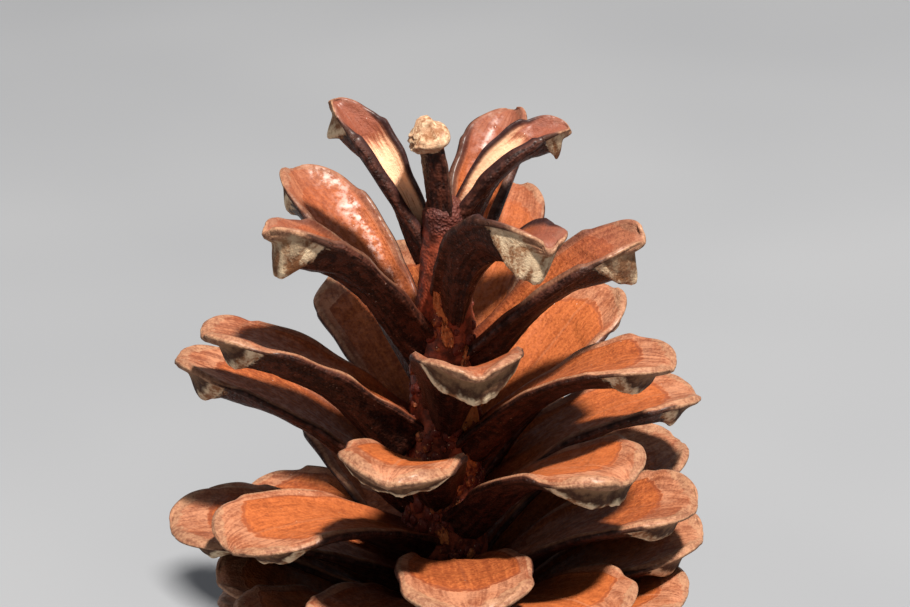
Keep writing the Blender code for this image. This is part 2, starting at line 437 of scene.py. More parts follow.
@dataclass(frozen=True)
class ScaleForm:
    """How the blank is bent and swollen into a scale. Lengths are in millimetres.

    The upper face is a shallow cup with raised sides and the hollow prints of two seed wings, and
    rolls over at the tip. The lower face has a keel. It ends in a crinkled lip, and from the lip to
    the tip it is hollow. The dicts name the scales that differ.
    """

    shoulder: float = 0.78
    root_share: float = 0.44
    tip_share: float = 0.34
    tip_rounding: float = 2.6
    edge_wave: float = 0.06
    corner_wave: float = 0.07
    corner_place: float = 0.88
    root_taper: float = 0.5
    lip_place: float = 0.88
    lip_side_place: float = 0.84
    lip_places: dict[int, float] = field(
        default_factory=lambda: {3: 0.90, 5: 0.87, 8: 0.93, 10: 0.87, 11: 0.86, 13: 0.92, 16: 0.94}
    )
    lip_step: float = 0.4
    lip_roll: float = 0.18
    lip_crinkle: float = 0.14
    lip_tuck: float = 0.25
    lip_crumbs: float = 0.12
    swell_start: float = 0.60
    tip_reach: float = 0.0
    tip_curve: float = 0.5
    lean: float = 0.9
    leans: dict[int, float] = field(default_factory=lambda: {4: 0.45, 6: -0.8, 7: -0.8, 11: 0.8, 24: 0.6})
    nose: float = 0.9
    nose_drop: float = 0.36
    rim_depth: float = 0.85
    rim_depths: dict[int, float] = field(
        default_factory=lambda: {3: 1.2, 5: 1.3, 8: 1.0, 10: 1.0, 13: 1.4, 16: 1.3, 21: 1.0}
    )
    least_depth: float = 0.3
    side_depth: Curve = ((0, 1.0), (6, 0.9), (9, 0.7), (63, 0.6))
    side_rise: Curve = ((0, 0.4), (6, 0.3), (8, 0.1), (63, 0.12))
    wing_print: float = 0.13
    seed_print: float = 0.35
    midrib: float = 0.06
    keel: float = 0.3

    def shape(self, blank: Array, place: ScalePlace) -> tuple[Array, dict[str, Array]]:
        """Bends the blank's points into one scale.

        Args:
            blank: The blank's points, one row each.
            place: Where the scale is, and its form.

        Returns:
            The scale's points in metres, one row each, and the labels that its finish reads.
        """
        sheet = Sheet.lay(blank, place)
        across, along, under = sheet.across, sheet.along, sheet.under
        half = self._half_width(sheet) * self._edge_waves(sheet)
        past = self._past_lip(sheet)
        upper = self._upper(sheet, half) + self._nose(sheet)
        lower = np.minimum(self._lower(sheet, half, past), upper - self.least_depth)

        # The walls bulge sideways along the scale, and forward at its tip
        bulge = 0.5 * (upper - lower) * np.sqrt(np.clip(1.0 - (2.0 * under - 1.0) ** 2, 0.0, 1.0))
        inside = half - 0.5 * float(read(self.side_depth, place.number))
        at_end = along > 0.999
        at_wall = at_end | (np.abs(across) > 0.999)
        facing = np.where(at_end, 0.0, math.pi / 2.0 * (1.0 - smooth((along - 0.80) / 0.20)))
        sideways = across * inside + np.where(at_wall, np.sign(across) * np.sin(facing) * bulge, 0.0)
        forward = np.where(at_wall, np.cos(facing) * bulge, 0.0)

        # The tip is rounded and leans to one side, and the lip is tucked back
        beside = across * inside / (place.width / 2.0)
        lean = self.leans.get(place.number, self.lean * noise.noise(sheet.start * 0.7)) * beside
        reach = self.tip_reach - self.tip_curve * beside**2 + lean
        forward = forward + reach * smooth((along - 0.75) / 0.25)
        forward = forward - self.lip_tuck * under * bell((past - 0.05) / 0.2) * (1.0 - across**2)
        forward = forward + self.lip_crumbs * under * sheet.crumbs * bell((past - 0.1) / 0.4)
        points = self._bend(sheet, sideways, forward, upper + (lower - upper) * under)
        return points, {SHIELD: past, CRINKLE: sheet.crinkle, KNOB: self._knob(along)}

    def _knob(self, along: Array) -> Array:
        """Where the wood is a knob's all round."""
        return 0.0 * along

    def _past_lip(self, sheet: Sheet) -> Array:
        """How far each point is past the lip.

        Args:
            sheet: The flat scale.

        Returns:
            The share of the way from the lip to the tip, below 0 before the lip.
        """
        lip = self.lip_places.get(sheet.place.number, self.lip_place)
        lip = lip + (self.lip_side_place - lip) * sheet.across**2 + 0.010 * sheet.lumps
        return (sheet.along - lip) / (1.0 - lip)

    def _bend(self, sheet: Sheet, sideways: Array, forward: Array, upward: Array) -> Array:
        """Lays a flat scale along its middle line, and turns it to its azimuth.

        Args:
            sheet: The flat scale.
            sideways: How far each point stands to the side.
            forward: How far it stands past its share along.
            upward: How far it stands above the middle line.

        Returns:
            The points in metres, one row each.
        """
        place, along = sheet.place, sheet.along
        share, radii, heights, slopes = Spine(place).line()
        radius = np.interp(along, share, radii)
        height = np.interp(along, share, heights)
        slope = np.interp(along, share, slopes)
        roll = math.radians(place.roll) * smooth(2.0 * along)
        sideways = sideways + place.sweep * along**2
        side = -sideways * np.cos(roll) - upward * np.sin(roll)
        rise = upward * np.cos(roll) - sideways * np.sin(roll)
        out = radius + forward * np.cos(slope) - rise * np.sin(slope)
        up = height + forward * np.sin(slope) + rise * np.cos(slope)
        azimuth = math.radians(place.azimuth)
        x = out * math.cos(azimuth) - side * math.sin(azimuth)
        y = out * math.sin(azimuth) + side * math.cos(azimuth)
        return np.stack([x, y, np.maximum(up, 0.0)], axis=1) * MM

    def _half_width(self, sheet: Sheet) -> Array:
        """Half the width: it widens to the shoulder, then rounds off.

        Args:
            sheet: The flat scale.

        Returns:
            Half the width at each point.
        """
        along = sheet.along
        widening = self.root_share + (1.0 - self.root_share) * smooth(0.12 + 0.88 * along / self.shoulder)
        past = np.clip((along - self.shoulder) / (1.0 - self.shoulder), 0.0, 1.0)
        rounding = self.tip_share + (1.0 - self.tip_share) * (1.0 - past**self.tip_rounding) ** 0.6
        return sheet.place.width / 2.0 * np.where(along < self.shoulder, widening, rounding)

    def _edge_waves(self, sheet: Sheet) -> Array:
        """The outline's own waves and blunt corners, different on each side.

        Args:
            sheet: The flat scale.

        Returns:
            What the half width is multiplied by at each point.
        """
        across, along, start = sheet.across, sheet.along, sheet.start
        rim = np.stack([np.sign(across) * 9.0, along * sheet.length, 0.0 * along], axis=1)
        shift = noise.noise(start * 1.3) * 0.02
        past = along - self.corner_place
        left = self.corner_wave * noise.noise(start * 2.1) * bell((past - shift) / 0.05)
        right = self.corner_wave * noise.noise(start * 3.7) * bell((past + shift) / 0.05)
        return 1.0 + self.edge_wave * grain(rim, 3.2, start) + np.where(across < 0.0, left, right)

    def _upper(self, sheet: Sheet, half: Array) -> Array:
        """The height of the upper face above the scale's middle line.

        Args:
            sheet: The flat scale.
            half: Half its width at each point.

        Returns:
            The height at each point.
        """
        across, along, place = sheet.across, sheet.along, sheet.place
        aside = np.abs(across)
        cup = place.cup * half * across**2 * smooth(0.3 + along)
        raised = float(read(self.side_rise, place.number)) * smooth((aside - 0.82) / 0.12)
        wing = smooth((0.80 - 0.12 * aside - along) / 0.03)
        wing = wing * smooth((0.84 - aside) / 0.05) * smooth(along / 0.15)
        middle = self.midrib * bell(across / 0.035) * smooth(along / 0.2)
        seeds = -self.seed_print * bell((aside - 0.42) / 0.22) * bell((along - 0.22) / 0.10)
        curl = sheet.wave * (0.16 + 0.24 * aside**3) * smooth(4.0 * along)
        return cup + raised * smooth((0.9 - along) / 0.15) - self.wing_print * wing + middle + seeds + curl

    def _nose(self, sheet: Sheet) -> Array:
        """How the upper face rolls over close to the tip's rim.

        Args:
            sheet: The flat scale.

        Returns:
            The change of height at each point.
        """
        along, place = sheet.along, sheet.place
        rim = self.rim_depths.get(place.number, self.rim_depth)
        ahead = (1.0 - along) * sheet.length
        beside = (1.0 - np.abs(sheet.across)) * place.width / 2.0
        beside = beside + 3.0 * (1.0 - smooth((along - 0.66) / 0.14))
        near_end = np.clip(1.0 - ahead / (self.nose * rim), 0.0, 1.0)
        near_side = np.clip(1.0 - beside / (self.nose * rim), 0.0, 1.0)
        return -self.nose_drop * rim * (1.0 - (1.0 - near_end**2) * (1.0 - near_side**2))

    def _lower(self, sheet: Sheet, half: Array, past: Array) -> Array:
        """The height of the lower face above the scale's middle line.

        Args:
            sheet: The flat scale.
            half: Half its width at each point.
            past: How far each point is past the lip.

        Returns:
            The height at each point.
        """
        across, along, place = sheet.across, sheet.along, sheet.place
        crinkle, lumps = sheet.crinkle, sheet.lumps
        swelling = smooth((along - self.swell_start) / 0.22)
        on_shield = smooth((past + self.lip_step) / self.lip_step)
        past = np.clip(past, 0.0, 1.0)
        root = (place.root_depth - place.body) * (1.0 - smooth(along / self.root_taper))
        rim = self.rim_depths.get(place.number, self.rim_depth)
        keel = self.keel * bell(across / 0.14) * (1.0 - swelling)
        blade = place.body + root + keel + 0.05 * crinkle + 0.5 * (place.shield - place.body) * swelling
        crest = (1.0 - smooth((past - 0.08) / 0.65)) ** 1.2
        shield = rim + (place.shield * (1.0 + 0.15 * lumps) - rim) * crest
        roll = (self.lip_roll + self.lip_crinkle * crinkle) * bell((past - 0.06) / 0.2)
        shield = shield + roll + 0.04 * crinkle + 0.08 * lumps
        edge = float(read(self.side_depth, place.number))
        edge = edge + (rim - 0.2 - edge) * smooth((along - 0.7) / 0.15)
        middle = blade + (shield - blade) * on_shield
        depth = edge + np.maximum(middle - edge, 0.0) * (1.0 - np.abs(across) ** 3.6)
        return place.cup * half * across**2 * smooth(0.3 + along) - depth


@dataclass(frozen=True)
class KnobForm(ScaleForm):
    """The topmost scale: a narrow stalk that ends in a lumpy knob."""

    stalk_share: float = 0.66
    knob_start: float = 0.80
    knob_lip: float = 0.14
    tip_reach: float = 0.2
    side_depth: Curve = ((0, 0.0), (63, 0.0))
    stalk_front: float = 0.5
    stalk_back: float = 0.35
    stalk_belly: float = 1.0
    knob_back: float = 0.6
    knob_belly: float = 0.8

    def _past_lip(self, sheet: Sheet) -> Array:
        """The whole knob has a lip's crinkled wood."""
        return np.where(sheet.along > self.knob_start, self.knob_lip, -1.0)

    def _knob(self, along: Array) -> Array:
        """Where the wood is the knob's."""
        return smooth((along - self.knob_start) / 0.04)

    def _swell(self, along: Array) -> Array:
        """The knob's half outline: 0 before it, 1 at its middle."""
        share = np.clip((along - self.knob_start) / (1.0 - self.knob_start), 0.0, 1.0)
        return smooth(share / 0.12) * np.sqrt(np.clip(1.0 - ((share - 0.5) / 0.54) ** 2, 0.0, 1.0))

    def _half_width(self, sheet: Sheet) -> Array:
        """Half the width: the stalk's, then the knob's."""
        stalk = np.where(sheet.along < self.knob_start + 0.04, self.stalk_share, 0.2)
        return sheet.place.width / 2.0 * np.maximum(stalk, self._swell(sheet.along))

    def _belly(self, sheet: Sheet) -> Array:
        """The round of the section: 1 in its middle and 0 at its sides."""
        return np.sqrt(np.clip(1.0 - sheet.across**2, 0.0, 1.0))

    def _upper(self, sheet: Sheet, half: Array) -> Array:
        """The stalk's rounded back, and the knob's."""
        back = self.stalk_back + self.knob_back * self._swell(sheet.along)
        return back * self._belly(sheet) + 0.25 * sheet.wave * self._belly(sheet)

    def _lower(self, sheet: Sheet, half: Array, past: Array) -> Array:
        """The stalk's outer face, and the knob's.

        Args:
            sheet: The flat scale.
            half: Half its width at each point.
            past: How far each point is past the lip.

        Returns:
            The height at each point.
        """
        swell = self._swell(sheet.along)
        lumpy = 0.06 * sheet.crinkle + swell * (0.22 * sheet.crinkle + 0.35 * sheet.lumps)
        return -self.stalk_front - self._belly(sheet) * (self.stalk_belly + self.knob_belly * swell + lumpy)


class Value:
    """A number that varies over a surface: a socket that Python's operators work on."""

    def __init__(self, shade: "Shade", socket: Socket) -> None:
        """Wraps an output socket of a material's node builder."""
        self.shade = shade
        self.socket = socket

    def _with(self, operation: str, first: Any, second: Any) -> "Value":
        """A Math node on two numbers."""
        return self.shade.value("ShaderNodeMath", {"operation": operation}, {0: first, 1: second})

    def __add__(self, other: Any) -> "Value":
        """self + other."""
        return self._with("ADD", self, other)

    __radd__ = __add__

    def __mul__(self, other: Any) -> "Value":
        """self * other."""
        return self._with("MULTIPLY", self, other)

    __rmul__ = __mul__

    def __sub__(self, other: Any) -> "Value":
        """self - other."""
        return self._with("SUBTRACT", self, other)

    def __rsub__(self, other: Any) -> "Value":
        """other - self."""
        return self._with("SUBTRACT", other, self)

    def __abs__(self) -> "Value":
        """The size of self, without its sign."""
        return self._with("ABSOLUTE", self, 0.0)

    def most(self, other: Any) -> "Value":
        """The larger of self and other."""
        return self._with("MAXIMUM", self, other)

    def step(self, low: float, high: float) -> "Value":
        """A smooth step: 0 where self is at low, and 1 at high."""
        return self.shade.value(
            "ShaderNodeMapRange",
            {"interpolation_type": "SMOOTHSTEP"},
            {"Value": self, "From Min": low, "From Max": high},
        )


class Shade:
    """Builds one material's nodes."""

    gloss = 0.15
    wax_roughness = 0.38

    def __init__(self, name: str) -> None:
        """Starts an empty material with a Principled shader.

        Args:
            name: The material's name.
        """
        self.material = bpy.data.materials.new(name)
        self.material.use_nodes = True
        self.tree = self.material.node_tree
        self.shader = self.tree.nodes["Principled BSDF"]

    def node(self, kind: str, settings: dict[str, Any], inputs: dict[Any, Any]) -> bpy.types.Node:
        """Adds a node.

        Args:
            kind: The node's type.
            settings: The node's own settings, which are set first.
            inputs: The value, colour or link of each input socket, by name or number.

        Returns:
            The node.
        """
        made = self.tree.nodes.new(kind)
        for name, setting in settings.items():
            setattr(made, name, setting)
        for name, given in inputs.items():
            self.feed(made.inputs[name], given)
        return made

    def feed(self, socket: Socket, given: Any) -> None:
        """Links or sets an input socket.

        Args:
            socket: The socket.
            given: A Value or a socket to link, or what to set.
        """
        if isinstance(given, Value):
            given = given.socket
        if isinstance(given, Socket):
            self.tree.links.new(given, socket)
        else:
            socket.default_value = given

    def value(self, kind: str, settings: dict[str, Any], inputs: dict[Any, Any]) -> Value:
        """Adds a node and wraps the number that it gives first."""
        return Value(self, self.node(kind, settings, inputs).outputs[0])

    def place(self) -> Socket:
        """The point on the object, in millimetres."""
        inputs = {0: self.node("ShaderNodeTexCoord", {}, {}).outputs["Object"], "Scale": 1.0 / MM}
        return self.node("ShaderNodeVectorMath", {"operation": "SCALE"}, inputs).outputs[0]

    def attribute(self, name: str) -> Value:
        """A number stored on the mesh."""
        return Value(self, self.node("ShaderNodeAttribute", {"attribute_name": name}, {}).outputs["Fac"])

    def flat(self) -> tuple[Value, Value]:
        """Reads across and along from the scale's UV map.

        Returns:
            Across and along.
        """
        uv = self.node("ShaderNodeUVMap", {"uv_map": SCALE_UV}, {}).outputs[0]
        parts = self.node("ShaderNodeSeparateXYZ", {}, {0: uv})
        return Value(self, parts.outputs[0]) * 2.0 - 1.0, Value(self, parts.outputs[1])

    def point(self, x: Any, y: Any, z: Any) -> Socket:
        """A vector of three numbers."""
        return self.node("ShaderNodeCombineXYZ", {}, {0: x, 1: y, 2: z}).outputs[0]

    def noise(self, at: Socket, per_unit: float, detail: float = 2.0) -> Value:
        """Cloudy noise about 0.5, with this many lumps in a unit and this many finer layers."""
        inputs = {"Vector": at, "Scale": per_unit, "Detail": detail, "Roughness": 0.6}
        return self.value("ShaderNodeTexNoise", {}, inputs)

    def grains(self, at: Socket, per_unit: float) -> tuple[Value, Value]:
        """Round grains.

        Args:
            at: Where they are read.
            per_unit: The grains in one unit.

        Returns:
            The distance from each grain's middle, and a random number for each grain.
        """
        made = self.node("ShaderNodeTexVoronoi", {}, {"Vector": at, "Scale": per_unit})
        random_part = self.node("ShaderNodeSeparateXYZ", {}, {0: made.outputs["Color"]})
        return Value(self, made.outputs["Distance"]), Value(self, random_part.outputs[0])

    def mix(self, share: Any, first: Any, second: Any) -> Socket:
        """A mix of two colours or colour sockets, with a share of the second from 0 to 1."""
        made = self.node("ShaderNodeMix", {"data_type": "RGBA"}, {0: share, 6: first, 7: second})
        return made.outputs[2]

    def layers(self, base: Any, *coats: tuple[Any, Any]) -> Socket:
        """Lays colours over one another.

        Args:
            base: The lowest colour.
            coats: The share and the colour of each coat over it, in order.

        Returns:
            The colour that shows.
        """
        for share, colour in coats:
            base = self.mix(share, base, colour)
        return base

    def finish(
        self, colour: Any, roughness: Any, height: Any, depth_mm: float, glints: Any = 0.0
    ) -> Material:
        """Feeds the shader.

        Args:
            colour: The base colour.
            roughness: The roughness.
            height: The relief, from 0 to 1.
            depth_mm: How high a relief of 1 stands.
            glints: How much of the surface is waxy and glints.

        Returns:
            The finished material.
        """
        self.feed(self.shader.inputs["Base Color"], colour)
        self.feed(self.shader.inputs["Roughness"], roughness)
        self.feed(self.shader.inputs["Coat Weight"], glints)
        self.shader.inputs["Coat Roughness"].default_value = self.wax_roughness
        self.shader.inputs["Specular IOR Level"].default_value = self.gloss
        bump = self.node("ShaderNodeBump", {}, {"Height": height, "Strength": 1.0, "Distance": depth_mm * MM})
        self.feed(self.shader.inputs["Normal"], bump.outputs[0])
        return self.material


@dataclass(frozen=True)
class ScaleFinish:
    """A scale's wood: cinnamon above with a pinkish margin, near black below, and a buff shield."""

    name: str = "scale_wood"
    cinnamon: Colour = tone(160, 84, 42)
    russet: Colour = tone(112, 52, 26)
    # A lighter amber for the raised grain: partly the wood's own grain, partly painted glints
    amber_grain_and_glint: Colour = tone(182, 108, 62)
    seam: Colour = tone(100, 52, 38)
    margin: Colour = tone(164, 112, 84)
    margin_deep: Colour = tone(108, 62, 44)
    rim: Colour = tone(158, 118, 90)
    rim_deep: Colour = tone(112, 74, 56)
    plum: Colour = tone(46, 24, 22)
    umber: Colour = tone(112, 62, 50)
    root: Colour = tone(90, 38, 22)
    gold: Colour = tone(216, 172, 138)
    gold_deep: Colour = tone(164, 92, 50)
    bark_dark: Colour = tone(32, 15, 11)
    bark_brown: Colour = tone(74, 38, 27)
    # Painted glints on the bark's grains
    painted_bark_glint: Colour = tone(108, 80, 68)
    hollow: Colour = tone(122, 90, 64)
    hollow_dark: Colour = tone(60, 35, 23)
    lip: Colour = tone(206, 182, 150)
    # The lip's brown in its crinkle's hollows: partly the wood's own brown, partly painted shade
    lip_brown_and_shade: Colour = tone(128, 86, 56)
    # White specks: partly dry resin, partly painted glints
    resin_and_glint: Colour = tone(230, 224, 210)
    orange_end: float = 0.86
    relief_mm: float = 0.14

    def material(self) -> Material:
        """Builds the finish.

        Returns:
            The material of every scale.
        """
        shade = Shade(self.name)
        across, along = shade.flat()
        aside = abs(across)
        read_labels = (shade.attribute(name) for name in (UNDER, TINT, GOLD, CROWN, SHIELD, CRINKLE, KNOB))
        under, tint, gold, crown, past, crinkle, knob = read_labels
        at = shade.place()
        cloud = shade.noise(at, 0.4)
        mottle = shade.noise(at, 1.5, 3.0)
        fine = shade.noise(at, 4.0, 5.0)
        fibre = shade.noise(shade.point(across * 12.0, along * 4.0, tint * 40.0), 1.0, 4.0)
        dimple = shade.noise(shade.point(across * 5.0, along * 15.0, tint * 40.0), 1.0, 2.0)
        cracks = shade.noise(shade.point(across * 8.0, along * 5.0, under * 5.0 + tint * 40.0), 1.0, 4.0)
        distance, chance = shade.grains(at, 3.6)

        # The upper face: an orange zone, a seam, the margin and the nose
        ahead = along + aside * aside * 0.14 + (mottle - 0.5) * 0.05 - tint * 0.04
        edge = ((ahead - self.orange_end) * 7.0).most((aside - 0.85) * 7.0 - along.step(0.5, 0.2))
        on_margin = edge.step(0.0, 0.1)
        on_nose = (edge + (mottle - 0.5) * 0.3).step(0.72, 0.92)
        seam = edge.step(-0.12, -0.03) * edge.step(0.06, 0.0) * fine
        # Russet where the grain lies low: partly the wood's own grain, partly painted shade in the relief's
        # hollows
        grain_and_hollow_shade = fine * 0.7 + mottle * 0.5 + fibre * 0.5 + tint * 0.2 - 0.45
        wood = shade.mix(grain_and_hollow_shade.step(0.2, 0.7), self.russet, self.cinnamon)
        streaky = cloud * 0.9 + fine * 0.7 + fibre * 0.9 - 0.75
        edge_wood = shade.mix(streaky.step(0.25, 0.75), self.margin_deep, self.margin)
        nose_wood = shade.mix((fine * 0.7 + mottle - 0.35).step(0.25, 0.7), self.rim_deep, self.rim)
        inner = shade.mix((fibre + fine * 0.4 + along * 0.2 - 0.25).step(0.3, 0.5), self.gold_deep, self.gold)
        plain = crown.step(0.0, 0.35)
        ragged = along + (fibre - 0.5) * 0.3
        middle = aside.step(0.04, 0.012) * along.step(0.4, 0.6) * (tint.step(0.4, 1.0) * 0.3 + 0.05)
        face = shade.layers(
            wood,
            # Amber on the raised grain: partly the wood's own grain, partly painted glints
            ((fine + fibre - 0.5).step(0.45, 0.85) * 0.3, self.amber_grain_and_glint),
            (on_margin * (cloud.step(0.3, 0.6) * 0.25 + 0.65) * (1.0 - plain * 0.4), edge_wood),
            (seam * (1.0 - plain * 0.7), self.seam),
            (on_nose * 0.75, nose_wood),
            (middle, self.margin),
            (crown * ragged.step(0.55, 0.8) * 0.8, self.umber),
            (gold * aside.step(0.95, 0.85) * ragged.step(0.74, 0.6), inner),
            (along.step(0.30, 0.08) * 0.85, self.root),
            (aside.step(0.84, 0.92) * crown * along.step(0.95, 0.8), self.plum),
        )

        # The lower face: bark, then the lip and the hollow of the shield
        bark = shade.layers(
            self.bark_dark,
            ((mottle + cracks - 0.5).step(0.35, 0.7), self.bark_brown),
            # Pale grains on the bark: painted glints
            (distance.step(0.3, 0.1) * chance.step(0.85, 0.95) * 0.4, self.painted_bark_glint),
            ((past + mottle * 0.3).step(-0.6, 0.1) * 0.6, self.hollow_dark),
        )
        on_shield = (past + (mottle - 0.5) * 0.8 - crinkle * 0.1).step(-0.25, -0.12)
        # The lip darkens where its crinkle sinks: partly its brown wood, partly painted shade in the crevices
        lip = shade.mix((crinkle * 0.5 + fine).step(0.25, 0.75), self.lip_brown_and_shade, self.lip)
        # The hollow darkens towards the lip: partly its brown wood, partly painted shade in the crevice by
        # the lip
        hollow = shade.mix((past + (mottle - 0.5) * 0.8).step(0.25, 0.7), self.hollow_dark, self.hollow)
        in_hollow = (past - crinkle * 0.08 + (mottle - 0.5) * 0.3).step(0.14, 0.3)
        in_hollow = in_hollow * (1.0 - crown.step(0.3, 0.8) * 0.7)
        buff = shade.layers(
            lip, (in_hollow, hollow), ((past + (aside - 0.5) * 0.2).step(0.75, 0.95), nose_wood)
        )

        # The sides join the two faces
        thin_edge = under.step(0.25, 0.08) * along.step(0.3, 0.6) * (1.0 - crown)
        side = shade.layers(
            bark,
            ((along + (mottle - 0.5) * 0.1 - crown * 0.06).step(0.84, 0.9), nose_wood),
            (thin_edge, edge_wood),
        )
        # White specks: partly dry resin, partly painted glints; they also make the wax glint
        resin_and_glint_specks = distance.step(0.14, 0.07) * chance.step(0.98, 0.985)
        colour = shade.layers(
            face,
            (under.step(0.02, 0.2), side),
            (under.step(0.7, 0.98), shade.mix(on_shield, bark, buff)),
            (knob, shade.mix(mottle.step(0.35, 0.65) * 0.8, lip, nose_wood)),
            (resin_and_glint_specks * 0.8, self.resin_and_glint),
        )

        on_bark = under.step(0.05, 0.3) * (1.0 - on_shield)
        roughness = 0.55 - on_bark * 0.12 + on_shield * under * 0.25
        sheen = mottle.step(0.42, 0.65) * (1.0 - under) * (plain * 0.3 + 0.35)
        sparks = on_bark * chance.step(0.75, 0.85) * distance.step(0.4, 0.2) * 0.8
        relief = fine * 0.7 + mottle * 0.3 + fibre * 0.4 + on_bark * (distance * 0.5 + cracks * 1.2)
        relief = relief + dimple * (1.0 - under) * (1.0 - on_margin) * 0.8 - seam * 0.4
        relief = relief + on_shield * under * crinkle * 0.4
        return shade.finish(colour, roughness, relief, self.relief_mm, resin_and_glint_specks + sheen + sparks)


@dataclass(frozen=True)
class StemFinish:
    """The stem's bark: reddish brown and grainy, with worn orange ridges."""

    name: str = "stem_bark"
    bud_height: float = 49.5
    bud: Colour = tone(72, 40, 36)
    dark: Colour = tone(70, 31, 22)
    red: Colour = tone(140, 66, 44)
    orange: Colour = tone(184, 108, 60)
    relief_mm: float = 0.12

    def material(self) -> Material:
        """Builds the finish.

        Returns:
            The material of the stem.
        """
        shade = Shade(self.name)
        at = shade.place()
        mottle = shade.noise(at, 1.1, 3.0)
        distance, chance = shade.grains(at, 4.0)
        height = Value(shade, shade.node("ShaderNodeSeparateXYZ", {}, {0: at}).outputs[2])
        on_bud = height.step(self.bud_height - 0.8, self.bud_height)
        colour = shade.layers(
            self.dark,
            (mottle.step(0.35, 0.65), self.red),
            (distance.step(0.3, 0.1) * chance.step(0.8, 0.95) * 0.4, self.orange),
            (on_bud * (mottle * 0.4 + 0.6), self.bud),
        )
        return shade.finish(colour, 0.5, distance * (0.4 + on_bud) + mottle * 0.3, self.relief_mm, 0.2)


class Tier(Enum):
    """The groups of scales that are one piece each, by the first number and the one past the last."""

    CROWN = (0, 8)
    UPPER = (8, 16)
    WAIST = (16, 24)
    MIDDLE = (24, 32)
    LOWER = (32, 42)
    SKIRT = (42, 53)
    BASE = (53, 64)


@dataclass(frozen=True)
class Scales:
    """All the scales, bent from one blank and joined tier by tier."""

    spiral: Spiral
    form: ScaleForm = ScaleForm()
    knob: KnobForm = KnobForm()
    blank: ScaleBlank = ScaleBlank()
    gold_share: dict[int, float] = field(default_factory=lambda: {1: 0.9, 2: 1.0})
    crown_share: Curve = ((0, 1.0), (3, 1.0), (4, 0.8), (5, 0.6), (9, 0.2), (11, 0.0))
    tint_seed: int = 11

    def build(self) -> list[Object]:
        """Builds the tiers.

        Returns:
            One object for each tier.
        """
        blank = self.blank.build()
        points = points_of(blank.data)
        draw = random.Random(self.tint_seed)
        made = [self._scale(blank, points, place, draw.random()) for place in self.spiral.places()]
        bpy.data.objects.remove(blank)
        material = ScaleFinish().material()
        return [joined(made[slice(*tier.value)], f"scales_{tier.name.lower()}", material) for tier in Tier]

    def _scale(self, blank: Object, points: Array, place: ScalePlace, tint: float) -> Object:
        """Bends a copy of the blank, with its own mesh, into one scale.

        Args:
            blank: The blank.
            points: Its points.
            place: The scale's place.
            tint: How far this scale's wood stands from the others', from 0 to 1.

        Returns:
            The scale.
        """
        mesh = blank.data.copy()
        made = added(f"scale_{place.number:02d}", mesh)
        form = self.knob if place.number == 0 else self.form
        bent, labels = form.shape(points, place)
        mesh.vertices.foreach_set("co", bent.ravel())
        alike = np.ones(len(mesh.vertices))
        labels[TINT] = alike * tint
        labels[GOLD] = alike * self.gold_share.get(place.number, 0.0)
        labels[CROWN] = alike * float(read(self.crown_share, place.number))
        for name, amounts in labels.items():
            label(mesh, name, amounts)
        mesh.shade_smooth()
        return made


@dataclass(frozen=True)
class StemPiece:
    """The visible stem: extruded ring by ring, with closer rings in its domed top, and roughened."""

    stem: Stem
    sides: int = 40
    ring_step: float = 0.8
    dome: float = 2.0
    dome_rings: int = 9
    rough: float = 0.22
    lump_sizes: tuple[float, float] = (0.9, 0.4)
    cut_end: float = 0.5

    def build(self) -> Object:
        """Builds the stem.

        Returns:
            The stem.
        """
        height, radius = self.stem.outline[0]
        bpy.ops.mesh.primitive_circle_add(
            vertices=self.sides, radius=radius * MM, fill_type="NGON", location=(0.0, 0.0, height * MM)
        )
        piece = bpy.context.active_object
        piece.name = "stem"
        bpy.ops.object.mode_set(mode="EDIT")
        bpy.ops.mesh.select_all(action="SELECT")
        top = self.stem.outline[-1][0]
        shaft = np.arange(self.ring_step, top - self.dome, self.ring_step)
        for level in np.concatenate([shaft, np.linspace(top - self.dome, top, self.dome_rings)]):
            wide = self.stem.radius(float(level))
            move = {"value": (0.0, 0.0, (float(level) - height) * MM)}
            bpy.ops.mesh.extrude_region_move(TRANSFORM_OT_translate=move)
            grow = wide / radius
            bpy.ops.transform.resize(value=(grow, grow, 1.0), center_override=(0.0, 0.0, float(level) * MM))
            height, radius = float(level), wide
        bpy.ops.mesh.select_all(action="SELECT")
        bpy.ops.mesh.normals_make_consistent(inside=False)
        bpy.ops.object.mode_set(mode="OBJECT")
        self._roughen(piece.data)
        piece.data.shade_smooth()
        piece.data.materials.append(StemFinish().material())
        settle(piece)
        return piece

    def _roughen(self, mesh: Mesh) -> None:
        """Pushes the bark in and out, but leaves the cut end flat.

        Args:
            mesh: The stem's mesh.
        """
        coarse, fine = self.lump_sizes
        for vertex in mesh.vertices:
            if vertex.co.z > self.cut_end * MM:
                lump = noise.noise(vertex.co / (coarse * MM)) + 0.5 * noise.noise(vertex.co / (fine * MM))
                outward = Vector((vertex.co.x, vertex.co.y, 0.0))
                if outward.length > 0.0:
                    vertex.co += outward.normalized() * lump * self.rough * MM


@dataclass(frozen=True)
class TornFinish:
    """Torn wood on the core: pale orange fibres and dark red grains, with drops of dry resin."""

    name: str = "torn_wood"
    fibre: Colour = tone(190, 112, 62)
    grain: Colour = tone(96, 40, 30)
    drop: Colour = tone(236, 214, 170)
    relief_mm: float = 0.12

    def material(self) -> Material:
        """Builds the finish.

        Returns:
            The material of the torn wood.
        """
        shade = Shade(self.name)
        at = shade.place()
        pale = shade.attribute(GOLD)
        mottle = shade.noise(at, 2.0, 5.0)
        distance, chance = shade.grains(at, 5.0)
        drops = distance.step(0.3, 0.15) * chance.step(0.86, 0.9)
        colour = shade.layers(
            self.grain, ((pale + (mottle - 0.5) * 2.2).step(0.3, 0.9), self.fibre), (drops * 0.8, self.drop)
        )
        return shade.finish(colour, 0.5, distance * 0.6 + mottle, self.relief_mm, drops * 0.5 + 0.15)


